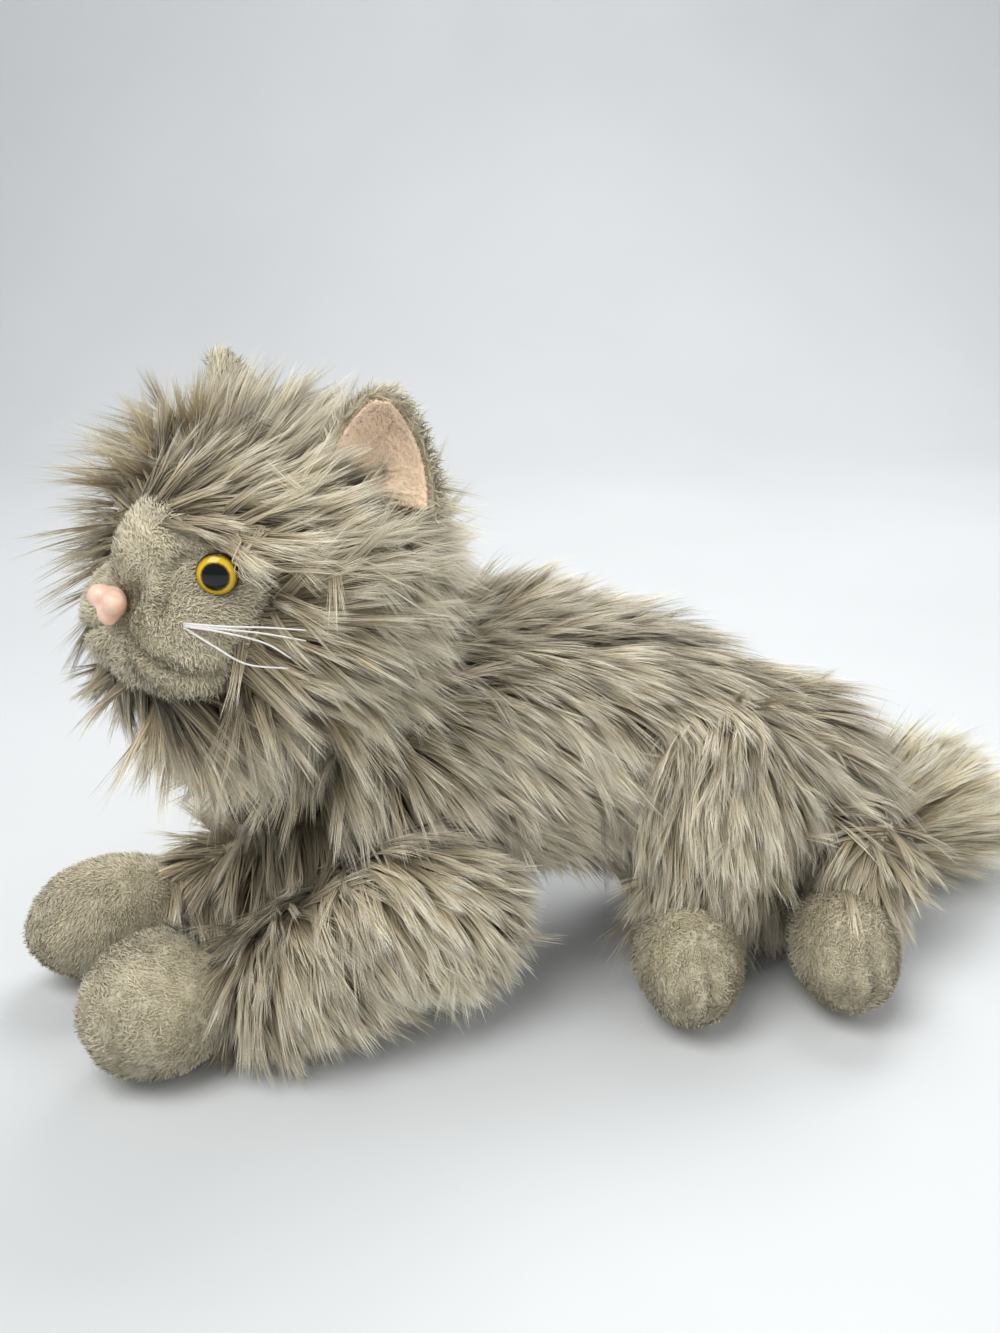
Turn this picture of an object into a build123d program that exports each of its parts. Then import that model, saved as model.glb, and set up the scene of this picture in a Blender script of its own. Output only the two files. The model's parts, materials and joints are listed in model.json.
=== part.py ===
from build123d import *
import math
import os

# A long-haired plush cat lying down with its head raised, in millimetres.
# The cat looks towards -X, its left side faces -Y, and its rest surface is z = 0.
# Torso, legs and paws are lofted through ovals; head and face are overlapping ellipsoids ("eggs"). A form
# is drawn at its full size, pile included; its stuffing is the same form made smaller by the pile.

# ---------------------------------------------------------------- driving dimensions
LONG_PILE = 17.0        # thickness that the combed long pile stands at
SHORT_PILE = 5.0        # thickness of the clipped pile on face, paws and ears
JOINT_GAP = 0.8         # space between two sewn units at a joint
FLOOR_TRIM = 400.0      # size of the block that trims forms at the rest surface

# The whole layout is moved by this, so that the origin is at the middle of the base.
ORIGIN_SHIFT = (-22.18, -6.30, 0.0)

BODY_AT = (-62.0, -5.0, 0.0)        # below the middle of the chest
BODY_YAW = 19.0
HEAD_AT = (-93.0, -28.0, 203.0)     # middle of the head
HEAD_YAW = 40.0
HEAD_FUR_R = 74.0
CROWN_R = 84.0                      # flatter curve that the fur follows over the crown
CROWN_DROP = 20.0                   # its centre below the middle of the head
SKULL = ((8, 0, -3), (48, 57, 46))  # head without its pile, in the head's frame

# Lofted forms: centre of each oval section and its two half-axes. Torso and foreleg sections stand
# across the body (-x forwards, -y to the cat's left); hind leg sections lie level.
TORSO = [
    ((-62, 0, 101), (5, 6)),
    ((-56, 0, 101), (25, 30)),
    ((-40, 0, 101), (43, 50)),
    ((-8, 0, 102), (55, 65)),
    ((35, 0, 111), (57, 67)),
    ((85, 0, 111), (58, 67)),
    ((125, -1, 98), (62, 68)),
    ((155, -3, 82), (65, 71)),
    ((185, -4, 68), (65, 70)),
    ((217, -4, 62), (57, 62)),
    ((240, -4, 58), (42, 46)),
    ((252, -4, 54), (21, 23)),
    ((256, -4, 53), (5, 6)),
]

SHOULDER_X = 10.0
SHOULDER_Z = 60.0
SHOULDER_R = 48.0
SHOULDER_FACE_Y = 30.0              # half the width of the chest between the forelegs
LEG_PILE = 12.0
FORELEG = [
    ((57, 50, 62), (5, 6)),
    ((52, 50, 62), (17, 22)),
    ((38, 50, 61), (27, 38)),
    ((10, 50, 60), (31, 47)),
    ((-20, 50, 52), (30, 41)),
    ((-48, 49, 42), (28, 33)),
    ((-68, 46, 36), (24, 27)),
    ((-82, 44, 34), (20, 22)),
    ((-91, 44, 33), (5, 6)),
]
# Each paw: centre, half-axes and yaw, then a point of its wrist seam and the way it faces, to the toes.
FOREPAWS = {
    "left": ((-92, -41, 30), (37, 31, 30), 38.0, (-71, -40, 34), (-0.8, -0.55, -0.15)),
    "right": ((-104, 40, 29), (40, 27, 29), 14.0, (-73, 44, 34), (-0.97, 0.1, -0.15)),
}

PAW_STEPS = 4                       # ovals on each side of a paw's middle
PAW_END_ANGLE = 84.0                # how far round the outermost ovals sit

HIP_FACE_Y = 8.0                    # plane of the rump that both hind legs are sewn against
HIP_POCKET = ((40, -120, -1), (215, HIP_FACE_Y, 143))
HINDLEGS = {
    "left": {
        "sections": [
            ((92, 4, 138), (6, 5)),
            ((92, 4, 134), (21, 20)),
            ((92, 4, 122), (36, 35)),
            ((92, 4, 96), (46, 45)),
            ((90, 0, 72), (40, 40)),
            ((86, -10, 50), (29, 28)),
            ((83, -18, 33), (21, 20)),
            ((82, -20, 28), (6, 5)),
        ],
        "paw": ((80, -30, 27), (44, 25, 27), 90.0, (82, -14, 44), (0, -0.8, -0.6)),
    },
    "right": {
        "sections": [
            ((164, 5, 86), (6, 5)),
            ((164, 5, 83), (15, 14)),
            ((163, 3, 74), (24, 23)),
            ((161, 0, 58), (28, 27)),
            ((156, -8, 42), (25, 24)),
            ((152, -12, 30), (19, 18)),
            ((150, -14, 26), (6, 5)),
        ],
        "paw": ((148, -20, 27), (44, 25, 27), 90.0, (152, -8, 40), (0, -0.8, -0.6)),
    },
}

TAIL_ROOT = (176.0, 76.0, 40.0)
TAIL_YAW = 20.0
TAIL_LENGTH = 80.0
TAIL_ROOT_R = 27.0
TAIL_R = 35.0
TAIL_PILE = 15.0
TAIL_CLEARANCE = 3.0                # room round the root for the swing
TAIL_DROOP = 4.0                    # the brush slopes down to the rest surface

NECK_DROP = 38.0                    # neck ball below the middle of the head
NECK_BALL_R = 24.0
NECK_POST_R = 20.0
NECK_POST_FOOT_Z = 92.0
NECK_SWAY = 8.0                     # room round the post and the head for nodding

# Face, in the head's frame: the clipped plush fills an oval opening in the long fur, which flares
# forwards. Eggs are ellipsoids: centre and three half-axes.
FACE_OPENING = (47.0, 42.0)         # half-width and half-height
FACE_FLARE = (95.0, 88.0)
FACE_OPENING_Z = -10.0
FACE_START_X = -18.0
FACE_END_X = -80.0
FACE_EGGS = [
    ((-41, -18, -22), (27, 27, 27)),
    ((-41, 18, -22), (27, 27, 27)),
    ((-38, 0, -34), (27, 27, 17)),
    ((-30, 0, 0), (33, 25, 34)),
]
BRIDGE_HALF_WIDTH = 12.0
BRIDGE_FOOT_Z = -9.0
CHIN_TOP_Z = -36.0

NOSE_AT = (-63.0, 0.0, -8.0)
NOSE_LOBE_R = 5.2
NOSE_LOBE_SPREAD = 4.2
NOSE_DROP = 6.0
STEM_R = 2.4
STEM_LENGTH = 17.0
WASHER_R = 9.0
WASHER_THICKNESS = 1.6
WASHER_DEPTH = 12.0

EYE_AT = (-39.0, 34.5, 5.5)
EYE_TURN = 48.0                     # how far each eye looks outwards from straight ahead
EYE_R = 7.9
EYE_DOME = 4.4
PUPIL_R = 5.4
PUPIL_THICKNESS = 0.8
EYE_BACK_THICKNESS = 1.4

WHISKER_R = 0.35
WHISKER_ROOT = (-48.0, 40.0, -19.0)
# tip of each whisker from its root, and how far its middle bows downwards
WHISKERS = [((30, 42, 1), 1.0), ((31, 40, -6), 2.0), ((26, 36, -16), -3.0), ((20, 32, -24), 5.0)]

WHISKER_PARTING = ((-60.0, 38.0, -52.0), (-12.0, 90.0, -8.0))

EAR_BASE = (22.0, 46.0, 23.0)       # behind, beside and above the middle of the head
EAR_FACING = 55.0                   # the ear's opening, turned outwards from straight ahead
EAR_LEAN = 8.0
EAR_WIDTH = 45.0
EAR_HEIGHT = 46.0
EAR_CUP_R = 42.0
EAR_BACK_THICKNESS = 4.6
EAR_LINING_THICKNESS = 2.6
EAR_ROOT_R = 62.0                   # the ear's lower edge follows the head at this radius
EAR_POCKET = ((-28, -28, -12), (14, 28, 60))

STITCH_R = 0.45
CLOSING_STITCHES = 9
CLOSING_PITCH = 8.0

BODY = Location(BODY_AT, (0, 0, BODY_YAW))
HEAD = Location(HEAD_AT, (0, 0, HEAD_YAW))
SIDES = {"left": -1, "right": 1}


# ---------------------------------------------------------------- helpers
def egg(centre, radii, inset=0.0):
    """Solid ellipsoid, made smaller all round by inset."""
    return Location(centre) * scale(Sphere(1), by=tuple(float(r - inset) for r in radii))


def lofted(sections, normal, inset=0.0):
    """Smooth form through oval sections along x or z, made smaller all round by inset."""
    axis = "xyz".index(normal)
    first, last = sections[0][0][axis], sections[-1][0][axis]
    middle, reach = (first + last) / 2, abs(last - first) / 2
    widest = max(radii[0] for _, radii in sections)
    ovals = []
    for centre, (width, height) in sections:
        shrink = 1 - inset / widest
        origin = list(centre)
        origin[axis] = middle + (centre[axis] - middle) * (1 - inset / reach)
        if normal == "x":
            plane = Plane(origin=origin, x_dir=(0, 1, 0), z_dir=(1, 0, 0))
        else:
            plane = Plane(origin=origin, x_dir=(1, 0, 0), z_dir=(0, 0, 1))
        ovals.append(plane * Ellipse(width * shrink, height * shrink))
    return loft(ovals)


def block(low, high):
    """Box from its lowest corner to its highest corner."""
    size = [b - a for a, b in zip(low, high)]
    middle = [(a + b) / 2 for a, b in zip(low, high)]
    return Location(middle) * Box(*size)


def rod(start, end, radius):
    """Straight round rod between two points."""
    run = Vector(end) - Vector(start)
    plane = Plane(origin=start, z_dir=run)
    return plane * extrude(Circle(radius), run.length)


def thread(start, middle, end, radius=STITCH_R):
    """Round thread along the arc through three points."""
    arc = ThreePointArc(start, middle, end)
    return sweep(Plane(origin=start, z_dir=arc % 0) * Circle(radius), path=arc)


def above_floor(form, floor=0.0):
    """Trims a form flat where it rests."""
    half = FLOOR_TRIM / 2
    return form - Location((0, 0, floor - half)) * Box(2 * FLOOR_TRIM, 2 * FLOOR_TRIM, FLOOR_TRIM)


def at_side(point, side):
    """A point given for the right side of the cat, mirrored for its left."""
    x, y, z = point
    return (x, y * SIDES[side], z)


# ---------------------------------------------------------------- torso and neck
def neck_stuffing():
    """Packed wad that carries the head: a post in the chest with a ball at its top."""
    x, y, z = HEAD_AT
    ball = Location((x, y, z - NECK_DROP)) * Sphere(NECK_BALL_R)
    return ball + rod((x, y, NECK_POST_FOOT_Z), (x, y, z - NECK_DROP), NECK_POST_R)


def neck_pocket():
    """Space in the chest for the post and in the air under the head for nodding."""
    x, y, z = HEAD_AT
    post = rod((x, y, NECK_POST_FOOT_Z - JOINT_GAP), (x, y, z), NECK_POST_R + JOINT_GAP)
    return post + Location(HEAD_AT) * Sphere(HEAD_FUR_R + NECK_SWAY)


def shoulder_pockets():
    """Room beside the chest where each foreleg hangs and swings."""
    pockets = []
    depth = 100.0
    for side in SIDES.values():
        outer = side * (SHOULDER_FACE_Y + depth)
        inner = side * SHOULDER_FACE_Y
        low_y, high_y = min(inner, outer), max(inner, outer)
        front = block((-120, low_y, -1), (SHOULDER_X, high_y, SHOULDER_Z + SHOULDER_R + 2))
        hub = rod((SHOULDER_X, inner, SHOULDER_Z), (SHOULDER_X, outer, SHOULDER_Z), SHOULDER_R + 2)
        pockets.append(BODY * (front + hub))
    return pockets


def torso_parts():
    outer = BODY * lofted(TORSO, "x")
    core = BODY * lofted(TORSO, "x", LONG_PILE)
    pockets = shoulder_pockets() + [block(*HIP_POCKET), neck_pocket()]
    pockets.append(Location(TAIL_ROOT) * Sphere(TAIL_ROOT_R + TAIL_CLEARANCE))
    for pocket in pockets:
        outer -= pocket
    stuffing = above_floor(core, LONG_PILE / 2)
    for pocket in pockets:
        stuffing -= pocket
    fur = above_floor(outer) - stuffing
    return fur, stuffing


def closing_stitches():
    """Ladder stitches that close the seam along the cat's right side after stuffing."""
    first = Vector(110, 52, 70)
    stitches = []
    for i in range(CLOSING_STITCHES):
        x = first.X + (i - CLOSING_STITCHES / 2) * CLOSING_PITCH
        stitches.append(BODY * rod((x, first.Y, first.Z - 3), (x + 3, first.Y, first.Z + 3), STITCH_R))
    return stitches


# ---------------------------------------------------------------- legs and tail
def toe_stitches(radii):
    """Two threads that pull the front of a paw in between its toes, in the paw's frame."""
    length, width, height = radii
    threads = []
    for offset in (-0.32, 0.32):
        reach = length * (1 - offset ** 2) ** 0.5
        top = (-0.72 * reach, offset * width, 0.66 * height)
        front = (-0.955 * reach, offset * width, 0.18 * height)
        foot = (-0.90 * reach, offset * width, -0.34 * height)
        threads.append(thread(top, front, foot))
    return threads


def paw_form(radii, inset=0.0):
    """Rounded paw with its toes at -x, as ovals whose size follows a quarter wave to each end."""
    length, width, height = radii
    sections = []
    for step in range(-PAW_STEPS, PAW_STEPS + 1):
        angle = math.radians(PAW_END_ANGLE * step / PAW_STEPS)
        size = math.cos(angle)
        sections.append(((length * math.sin(angle), 0, 0), (width * size, height * size)))
    return lofted(sections, "x", inset)


def limb_parts(outer, core, paw, trim, frame):
    """Fur sleeve, clipped paw, stuffing and toe stitches of one leg. trim cuts its sewn face."""
    centre, radii, yaw, wrist, toes = paw
    turn = Location(centre, (0, 0, yaw))
    size = FLOOR_TRIM
    beyond = Plane(origin=wrist, z_dir=toes) * (Location((0, 0, size / 2)) * Box(size, size, size))
    sleeve = above_floor(frame * (outer - beyond)) - trim
    sleeve_core = above_floor(frame * (core - beyond), LEG_PILE / 2) - trim
    paw_full = above_floor(frame * (turn * paw_form(radii) & beyond)) - trim
    paw_core = above_floor(frame * (turn * paw_form(radii, SHORT_PILE) & beyond), SHORT_PILE) - trim
    threads = [frame * turn * item for item in toe_stitches(radii)]
    plush = paw_full - paw_core
    for item in threads:
        plush -= item
    return {"fur": sleeve - sleeve_core, "plush": plush, "stuffing": sleeve_core + paw_core,
            "stitches": threads}


def foreleg_parts(side):
    sign = SIDES[side]
    sections = [(at_side(centre, side), radii) for centre, radii in FORELEG]
    low_y, high_y = sorted((sign * (SHOULDER_FACE_Y + JOINT_GAP), -sign * 100.0))
    trim = BODY * block((-66, low_y, -5), (120, high_y, 200))
    outer, core = lofted(sections, "x"), lofted(sections, "x", LEG_PILE)
    return limb_parts(outer, core, FOREPAWS[side], trim, BODY)


def hindleg_parts(side):
    leg = HINDLEGS[side]
    trim = block((0, HIP_FACE_Y - JOINT_GAP, -5), (260, 120, 200))
    outer, core = lofted(leg["sections"], "z"), lofted(leg["sections"], "z", LEG_PILE)
    return limb_parts(outer, core, leg["paw"], trim, Location())


def tail_form(inset=0.0):
    """Brush-shaped tail: a round root that widens to a full brush and closes in a blunt tip."""
    root, full, length = TAIL_ROOT_R - inset, TAIL_R - inset, TAIL_LENGTH - inset
    with BuildPart() as tail:
        with BuildSketch(Plane.XZ):
            with BuildLine():
                Spline((-root, 0), (0, root), (0.42 * length, full), (0.86 * length, 0.62 * full),
                       (length, 0), tangents=[(0, 1), (0, -1)])
                Line((length, 0), (-root, 0))
            make_face()
        revolve(axis=Axis.X)
    return Location(TAIL_ROOT, (0, TAIL_DROOP, TAIL_YAW)) * tail.part


def tail_parts():
    core = above_floor(tail_form(TAIL_PILE), TAIL_PILE / 2)
    return above_floor(tail_form()) - core, core


# ---------------------------------------------------------------- head
def face_forms():
    """The clipped face at full size, the head's stuffing and the opening in the long fur."""
    rim = Plane(origin=(FACE_START_X, 0, FACE_OPENING_Z), x_dir=(0, 1, 0), z_dir=(-1, 0, 0))
    flare = Plane(origin=(FACE_END_X, 0, FACE_OPENING_Z), x_dir=(0, 1, 0), z_dir=(-1, 0, 0))
    opening = loft([rim * Ellipse(*FACE_OPENING), flare * Ellipse(*FACE_FLARE)])
    full = egg(*SKULL, inset=-SHORT_PILE) & opening
    core = egg(*SKULL)
    for centre, radii in FACE_EGGS:
        full += egg(centre, radii)
        core += egg(centre, radii, SHORT_PILE)
    return full, core, opening


def eye_frame(side):
    """Frame at the back of an eye's dome; its +z looks out of the head."""
    return Location(at_side(EYE_AT, side)) * Location((0, 0, 0), (0, -90, 0)) * \
        Location((0, 0, 0), (-SIDES[side] * EYE_TURN, 0, 0))


def eye_parts(side):
    """Clear dome, black pupil, iris plate with its stem, and the locking washer."""
    ball_r = (EYE_R ** 2 + EYE_DOME ** 2) / (2 * EYE_DOME)
    dome = Location((0, 0, EYE_DOME - ball_r)) * Sphere(ball_r)
    dome &= block((-EYE_R, -EYE_R, 0), (EYE_R, EYE_R, EYE_DOME + 1))
    pupil = extrude(Circle(PUPIL_R), PUPIL_THICKNESS)
    back = Location((0, 0, -EYE_BACK_THICKNESS)) * extrude(Circle(EYE_R), EYE_BACK_THICKNESS)
    back += rod((0, 0, -STEM_LENGTH), (0, 0, -EYE_BACK_THICKNESS / 2), STEM_R)
    frame = eye_frame(side)
    return {"lens": frame * (dome - pupil), "pupil": frame * pupil, "iris": frame * back,
            "washer": frame * washer()}


def washer():
    """Ring pushed along a stem to lock it behind the fabric."""
    ring = Circle(WASHER_R) - Circle(STEM_R)
    return Location((0, 0, -WASHER_DEPTH)) * extrude(ring, WASHER_THICKNESS)


def nose_parts():
    """Three-lobed soft nose with a stem, and its washer."""
    x, y, z = NOSE_AT
    lobes = [
        ((x, -NOSE_LOBE_SPREAD, z + 1.5), (4.2, NOSE_LOBE_R, 4.6)),
        ((x, NOSE_LOBE_SPREAD, z + 1.5), (4.2, NOSE_LOBE_R, 4.6)),
        ((x, 0, z - NOSE_DROP / 2), (4.0, NOSE_LOBE_R, NOSE_DROP)),
    ]
    nose = egg(*lobes[0]) + egg(*lobes[1]) + egg(*lobes[2])
    nose += rod((x + STEM_LENGTH, 0, z), (x, 0, z), STEM_R)
    ring = Location((x, 0, z), (0, -90, 0)) * washer()
    return nose, ring


def mouth_threads():
    """Thread under the nose and along each half of the upper lip."""
    threads = [thread((-67, 0, -17), (-68.6, 0, -23), (-67, 0, -29))]
    for sign in SIDES.values():
        threads.append(thread((-66, sign * 2, -31), (-60, sign * 15, -38), (-50, sign * 27, -37)))
    return threads


def whiskers(side):
    """Four bristles of nylon monofilament that fan out from one cheek."""
    root = Vector(*WHISKER_ROOT)
    strands = []
    for i, (tip, bow) in enumerate(WHISKERS):
        start = root + Vector(0, 0, 1.5 * (1.5 - i))
        end = start + Vector(*tip)
        middle = (start + end) * 0.5 - Vector(0, 0, bow)
        points = [at_side((p.X, p.Y, p.Z), side) for p in (start, middle, end)]
        strands.append(thread(*points, radius=WHISKER_R))
    return strands


def whisker_parting(side):
    """Notch in the fur beside the cheek, so that no pile stands in the whiskers."""
    low, high = WHISKER_PARTING
    near, far = sorted((low[1] * SIDES[side], high[1] * SIDES[side]))
    return block((low[0], near, low[2]), (high[0], far, high[2]))


def head_parts():
    full, core, opening = face_forms()
    nose, nose_ring = nose_parts()
    mouth = mouth_threads()
    eyes = {side: eye_parts(side) for side in SIDES}
    bristles = {side: whiskers(side) for side in SIDES}
    hardware = [nose, nose_ring] + mouth
    for side in SIDES:
        hardware += list(eyes[side].values())
    neck = Location((0, 0, -NECK_DROP)) * Sphere(NECK_BALL_R + JOINT_GAP)
    neck += rod((0, 0, -NECK_DROP), (0, 0, -HEAD_FUR_R - 5), NECK_POST_R + NECK_SWAY)
    stuffing = core - neck
    plush = (full - core - neck) & block((-90, -70, -80), (FACE_START_X, 70, 80))
    for item in hardware:
        stuffing -= item
        plush -= item
    for side in SIDES:
        for strand in bristles[side]:
            plush -= strand
    crown = Location((0, 0, -CROWN_DROP)) * Sphere(CROWN_R)
    fur = (Sphere(HEAD_FUR_R) & crown) - core - opening - full - neck
    for side in SIDES:
        fur -= whisker_parting(side)
    for side in SIDES:
        fur -= ear_pocket(side)
        for item in eyes[side].values():
            fur -= item

    bridge_box = block((-90, -BRIDGE_HALF_WIDTH, BRIDGE_FOOT_Z), (0, BRIDGE_HALF_WIDTH, 60))
    chin_box = block((-90, -70, -80), (0, 70, CHIN_TOP_Z))
    cheeks = plush - bridge_box - chin_box
    parts = {
        "head_fur": fur,
        "head_stuffing": stuffing,
        "bridge_plush": plush & bridge_box,
        "chin_plush": plush & chin_box,
        "left_cheek_plush": cheeks & block((-90, -70, -80), (0, 0, 60)),
        "right_cheek_plush": cheeks & block((-90, 0, -80), (0, 70, 60)),
        "nose": nose,
        "nose_washer": nose_ring,
        "mouth_stitches": mouth,
    }
    for side in SIDES:
        parts[f"{side}_whiskers"] = bristles[side]
        for name, item in eyes[side].items():
            parts[f"{side}_eye_{name}"] = item
    return parts


def ear_frame(side):
    """Frame at the middle of an ear's base: +z up the ear, -x out of its opening."""
    sign = SIDES[side]
    return Location(at_side(EAR_BASE, side)) * Location((0, 0, 0), (-sign * EAR_LEAN, 0, 0)) * \
        Location((0, 0, 0), (0, 0, -sign * EAR_FACING))


def ear_outline(inset=0.0):
    """Rounded triangle, extruded through the depth of the ear's cup."""
    half = EAR_WIDTH / 2 - inset
    height = EAR_HEIGHT - inset
    plane = Plane(origin=(-30, 0, 0), x_dir=(0, 1, 0), z_dir=(1, 0, 0))
    with BuildPart() as prism:
        with BuildSketch(plane):
            with BuildLine():
                Line((-half, inset), (half, inset))
                ThreePointArc((half, inset), (0.72 * half, 0.62 * height), (0.16 * half, height))
                Line((0.16 * half, height), (-0.16 * half, height))
                ThreePointArc((-0.16 * half, height), (-0.72 * half, 0.62 * height), (-half, inset))
            make_face()
        extrude(amount=50)
    return prism.part


def ear_parts(side):
    """Clipped back and velour lining of one ear, two cupped layers that share a face."""
    middle = Location((-EAR_CUP_R, 0, 0.42 * EAR_HEIGHT))
    lining = middle * (Sphere(EAR_CUP_R) - Sphere(EAR_CUP_R - EAR_LINING_THICKNESS))
    back = middle * (Sphere(EAR_CUP_R + EAR_BACK_THICKNESS) - Sphere(EAR_CUP_R))
    frame = ear_frame(side)
    head = Sphere(EAR_ROOT_R)
    return frame * (back & ear_outline()) - head, frame * (lining & ear_outline(3.0)) - head


def ear_pocket(side):
    """Parting in the head fur round an ear's base, wide enough for the ear to fold."""
    return ear_frame(side) * block(*EAR_POCKET)


# ---------------------------------------------------------------- all nodes
def all_parts():
    parts = {}
    parts["torso_fur"], parts["torso_stuffing"] = torso_parts()
    stitches = closing_stitches()
    for item in stitches:
        parts["torso_fur"] -= item
    parts["closing_stitches"] = stitches
    parts["neck_stuffing"] = neck_stuffing()
    for name, part in head_parts().items():
        parts[name] = [HEAD * item for item in part] if isinstance(part, list) else HEAD * part
    for side in SIDES:
        back, lining = ear_parts(side)
        parts[f"{side}_ear_back"] = HEAD * back
        parts[f"{side}_ear_lining"] = HEAD * lining
        for leg, made in (("foreleg", foreleg_parts(side)), ("hindleg", hindleg_parts(side))):
            paw = leg.replace("leg", "paw")
            parts[f"{side}_{leg}_fur"] = made["fur"]
            parts[f"{side}_{paw}_plush"] = made["plush"]
            parts[f"{side}_{leg}_stuffing"] = made["stuffing"]
            parts[f"{side}_{paw}_stitches"] = made["stitches"]
    parts["tail_fur"], parts["tail_stuffing"] = tail_parts()
    return parts


def main():
    os.makedirs("parts", exist_ok=True)
    for name, part in all_parts().items():
        pieces = part if isinstance(part, list) else [part]
        solids = [solid for piece in pieces for solid in piece.solids()]
        placed = Location(ORIGIN_SHIFT) * Compound(solids)
        export_step(placed, f"parts/{name}.step")


main()
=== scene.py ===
import bpy
import json
import math
import numpy as np
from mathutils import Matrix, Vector
from mathutils.bvhtree import BVHTree


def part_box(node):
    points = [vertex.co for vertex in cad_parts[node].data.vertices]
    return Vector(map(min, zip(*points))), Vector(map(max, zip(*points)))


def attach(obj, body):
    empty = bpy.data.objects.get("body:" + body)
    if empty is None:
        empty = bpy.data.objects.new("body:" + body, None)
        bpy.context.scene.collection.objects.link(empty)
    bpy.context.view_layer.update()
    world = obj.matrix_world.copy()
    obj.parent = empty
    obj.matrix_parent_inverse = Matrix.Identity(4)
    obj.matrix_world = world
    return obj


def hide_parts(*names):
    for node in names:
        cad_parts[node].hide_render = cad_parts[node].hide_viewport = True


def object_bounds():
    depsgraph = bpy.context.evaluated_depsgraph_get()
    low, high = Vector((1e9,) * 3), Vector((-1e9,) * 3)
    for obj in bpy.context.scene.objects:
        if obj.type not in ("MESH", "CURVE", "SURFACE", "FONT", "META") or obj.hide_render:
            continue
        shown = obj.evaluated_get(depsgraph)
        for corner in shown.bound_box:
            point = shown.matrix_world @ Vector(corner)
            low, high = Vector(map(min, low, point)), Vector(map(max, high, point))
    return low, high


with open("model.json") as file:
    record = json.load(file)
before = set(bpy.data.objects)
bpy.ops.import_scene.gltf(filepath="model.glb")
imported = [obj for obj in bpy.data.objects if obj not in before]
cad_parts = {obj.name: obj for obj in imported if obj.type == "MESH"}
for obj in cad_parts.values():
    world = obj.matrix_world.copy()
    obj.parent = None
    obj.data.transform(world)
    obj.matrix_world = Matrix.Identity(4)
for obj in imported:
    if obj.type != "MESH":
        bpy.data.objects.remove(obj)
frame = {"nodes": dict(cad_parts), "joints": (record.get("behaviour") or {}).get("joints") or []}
CAD_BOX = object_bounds()
NODES = frame["nodes"]
JOINTS = {j["name"]: j for j in frame["joints"]}
SIDES = {"left": -1, "right": 1}
MM = 0.001

# The cat looks towards -X, its left side faces -Y, z = 0 is the surface it lies on. Lengths in metres
# unless a name says otherwise. Every soft unit is a cloth skin at the root of its pile, and a coat of
# separate tapered hairs that grow from it.


# ---------------------------------------------------------------- frames of the body and the head
def rotation_z(degrees):
    a = math.radians(degrees)
    return np.array([[math.cos(a), -math.sin(a), 0], [math.sin(a), math.cos(a), 0], [0, 0, 1]])


class Frame:
    """A place and a turn about z. Local points are in millimetres."""

    def __init__(self, origin, yaw):
        self.origin = np.array(origin, float)
        self.turn = rotation_z(yaw)

    def point(self, p):
        return np.asarray(p, float) * MM @ self.turn.T + self.origin

    def vector(self, v):
        return np.asarray(v, float) @ self.turn.T

    def local(self, p):
        return (np.asarray(p, float) - self.origin) @ self.turn / MM


HEAD_ABOVE_NECK = 0.038
HEAD_YAW = 40.0
BODY_YAW = 19.0
TAIL_YAW = 20.0
LEFT_HIP_LOCAL = (92, 8, 92)            # left hip joint as the guides of the hind legs count it
SHOULDER_LOCAL = (10.0, 30.0, 60.0)     # right shoulder joint in the body's frame

neck_pivot = np.array(JOINTS["neck_nod"]["pos_m"])
HEAD = Frame(neck_pivot + (0, 0, HEAD_ABOVE_NECK), HEAD_YAW)
BODY = Frame((0, 0, 0), BODY_YAW)
BODY.origin = np.array(JOINTS["right_shoulder"]["pos_m"]) - BODY.point(SHOULDER_LOCAL)
HIND = Frame(np.array(JOINTS["left_hip"]["pos_m"]) - np.array(LEFT_HIP_LOCAL) * MM, 0)
TAIL = Frame(JOINTS["tail_swing"]["pos_m"], TAIL_YAW)


# ---------------------------------------------------------------- mesh helpers
def mesh_arrays(obj):
    """Vertices and triangles of an object, modifiers included."""
    graph = bpy.context.evaluated_depsgraph_get()
    made = obj.evaluated_get(graph)
    mesh = made.to_mesh()
    mesh.calc_loop_triangles()
    verts = np.zeros(len(mesh.vertices) * 3, np.float32)
    mesh.vertices.foreach_get("co", verts)
    tris = np.zeros(len(mesh.loop_triangles) * 3, np.int32)
    mesh.loop_triangles.foreach_get("vertices", tris)
    made.to_mesh_clear()
    return verts.reshape(-1, 3).astype(float), tris.reshape(-1, 3)


def new_object(name, verts, faces):
    mesh = bpy.data.meshes.new(name)
    mesh.from_pydata([tuple(v) for v in verts], [], [tuple(int(i) for i in f) for f in faces])
    mesh.update()
    mesh.polygons.foreach_set("use_smooth", np.ones(len(mesh.polygons), bool))
    obj = bpy.data.objects.new(name, mesh)
    bpy.context.scene.collection.objects.link(obj)
    return obj


def joined_nodes(names):
    """One vertex and triangle array of several CAD nodes."""
    all_verts, all_tris, start = [], [], 0
    for name in names:
        verts, tris = mesh_arrays(NODES[name])
        all_verts.append(verts)
        all_tris.append(tris + start)
        start += len(verts)
    return np.concatenate(all_verts), np.concatenate(all_tris)


def largest_island(verts, faces):
    """Keeps the connected surface with the most faces."""
    label = np.arange(len(verts))
    while True:
        low = label[faces].min(axis=1)
        fresh = label.copy()
        for k in range(faces.shape[1]):
            np.minimum.at(fresh, faces[:, k], low)
        fresh = fresh[fresh]
        if np.array_equal(fresh, label):
            break
        label = fresh
    owner = label[faces[:, 0]]
    values, counts = np.unique(owner, return_counts=True)
    kept = faces[owner == values[counts.argmax()]]
    used = np.unique(kept)
    renumber = np.zeros(len(verts), int)
    renumber[used] = np.arange(len(used))
    return verts[used], renumber[kept]


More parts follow.
